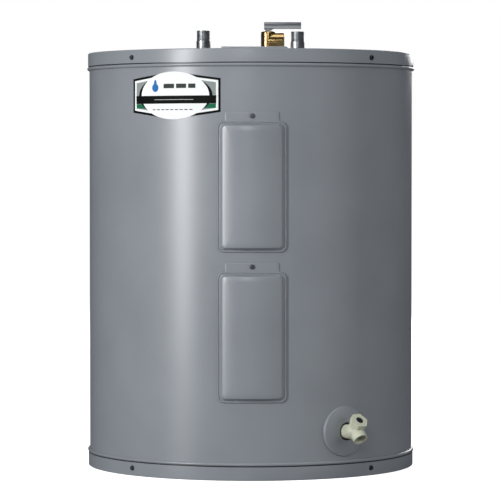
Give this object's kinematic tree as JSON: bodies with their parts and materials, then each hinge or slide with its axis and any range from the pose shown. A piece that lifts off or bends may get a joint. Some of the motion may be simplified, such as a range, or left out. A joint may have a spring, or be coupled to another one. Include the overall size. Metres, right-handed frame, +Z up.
{
  "type": "tank water heater",
  "caption": "Low electric storage water heater: round painted jacket with end pans, two access panels, top pipe nipples, relief valve with lever, and a drain valve.",
  "frame": {"origin": "centre of the base, on the floor", "axes": "+Z up along the tank's axis, -Y out of the access panels, +X to the right as seen from the front"},
  "size_m": [0.618, 0.6267, 0.8392],
  "materials": {
    "painted_shell": "satin",
    "zinc_screw": "satin",
    "tank_steel": "matte",
    "foam": "matte",
    "pad_fibre": "matte",
    "pipe_steel": "satin",
    "cold_plastic": "satin",
    "hot_plastic": "satin",
    "dip_plastic": "satin",
    "anode_metal": "matte",
    "plug_steel": "satin",
    "cap_plastic": "satin",
    "box_steel": "satin",
    "ground_green": "satin",
    "label_film": "gloss",
    "valve_plastic": "satin",
    "rubber_seal": "matte",
    "brass": "satin",
    "probe_copper": "satin",
    "spring_steel": "satin",
    "lever_zinc": "satin",
    "element_zinc": "satin",
    "sheath_metal": "satin",
    "phenolic": "satin",
    "dial_plastic": "satin",
    "reset_red": "gloss",
    "wire_plastic": "satin"
  },
  "bodies": {
    "heater": {"jacket": "painted_shell", "top_pan": "painted_shell", "base_pan": "painted_shell", "drain_escutcheon": "painted_shell", "junction_cover": "painted_shell", "pan_screws": "zinc_screw", "junction_cover_screws": "zinc_screw", "terminal_screws": "zinc_screw", "tank_shell": "tank_steel", "tank_top_head": "tank_steel", "tank_bottom_head": "tank_steel", "tank_spuds": "tank_steel", "foam_insulation": "foam", "base_insulation": "foam", "cold_inlet_nipple": "pipe_steel", "hot_outlet_nipple": "pipe_steel", "cold_heat_trap": "cold_plastic", "hot_heat_trap": "hot_plastic", "dip_tube": "dip_plastic", "anode_rod": "anode_metal", "anode_plug": "plug_steel", "anode_cap": "cap_plastic", "foam_fill_plugs": "cap_plastic", "junction_box": "box_steel", "thermostat_brackets": "box_steel", "ground_screw": "ground_green", "front_label": "label_film", "drain_valve_body": "valve_plastic", "drain_valve_gland": "valve_plastic", "element_gaskets": "rubber_seal", "relief_valve_body": "brass", "relief_valve_bonnet": "brass", "relief_valve_probe": "probe_copper", "relief_valve_spring": "spring_steel", "upper_element_flange": "element_zinc", "lower_element_flange": "element_zinc", "upper_element_sheath": "sheath_metal", "lower_element_sheath": "sheath_metal", "upper_element_terminals": "phenolic", "lower_element_terminals": "phenolic", "upper_thermostat": "phenolic", "lower_thermostat": "phenolic", "high_limit_switch": "phenolic", "wiring_harness": "wire_plastic"},
    "relief_stem": {"relief_valve_stem": "spring_steel", "relief_valve_disc": "rubber_seal", "relief_lever_pin": "spring_steel"},
    "relief_lever": {"relief_valve_lever": "lever_zinc"},
    "drain_stem": {"drain_valve_stem": "cap_plastic", "drain_valve_washer": "rubber_seal"},
    "upper_dial": {"upper_thermostat_dial": "dial_plastic"},
    "lower_dial": {"lower_thermostat_dial": "dial_plastic"},
    "reset": {"reset_button": "reset_red"},
    "upper_panel": {"upper_access_panel": "painted_shell", "upper_panel_insulation": "pad_fibre", "upper_panel_screw": "zinc_screw"},
    "lower_panel": {"lower_access_panel": "painted_shell", "lower_panel_insulation": "pad_fibre", "lower_panel_screw": "zinc_screw"}
  },
  "joints": [
    {"name": "relief_stem_lift", "type": "slide", "parent": "heater", "child": "relief_stem", "axis": [0, 0, 1], "range_m": [0, 0.003], "stiffness_N_per_m": 500, "springref_m": -0.003, "deforming": ["relief_valve_spring"]},
    {"name": "relief_lever_hinge", "type": "hinge", "parent": "relief_stem", "child": "relief_lever", "pos_m": [0.0344, 0.062, 0.82735], "axis": [0, -1, 0], "range_deg": [0, 90]},
    {"name": "drain_stem_turn", "type": "hinge", "parent": "heater", "child": "drain_stem", "pos_m": [0.18302, -0.27652, 0.0889], "axis": [0.3903, -0.5896, 0.7071], "range_deg": [0, 720]},
    {"name": "upper_dial_turn", "type": "hinge", "parent": "heater", "child": "upper_dial", "pos_m": [0, -0.2772, 0.5266], "axis": [0, -1, 0], "range_deg": [-120, 120]},
    {"name": "lower_dial_turn", "type": "hinge", "parent": "heater", "child": "lower_dial", "pos_m": [0, -0.2772, 0.2564], "axis": [0, -1, 0], "range_deg": [-120, 120]},
    {"name": "reset_push", "type": "slide", "parent": "heater", "child": "reset", "axis": [0, 1, 0], "range_m": [0, 0.0016], "stiffness_N_per_m": 600, "springref_m": -0.002},
    {"name": "upper_panel_off", "type": "slide", "parent": "heater", "child": "upper_panel", "axis": [0, -1, 0], "range_m": [0, 0.15]},
    {"name": "lower_panel_off", "type": "slide", "parent": "heater", "child": "lower_panel", "axis": [0, -1, 0], "range_m": [0, 0.15]}
  ],
  "couplings": [
    {"joint": "relief_lever_hinge", "follows": "relief_stem_lift", "rad_per_m": 523.59}
  ]
}
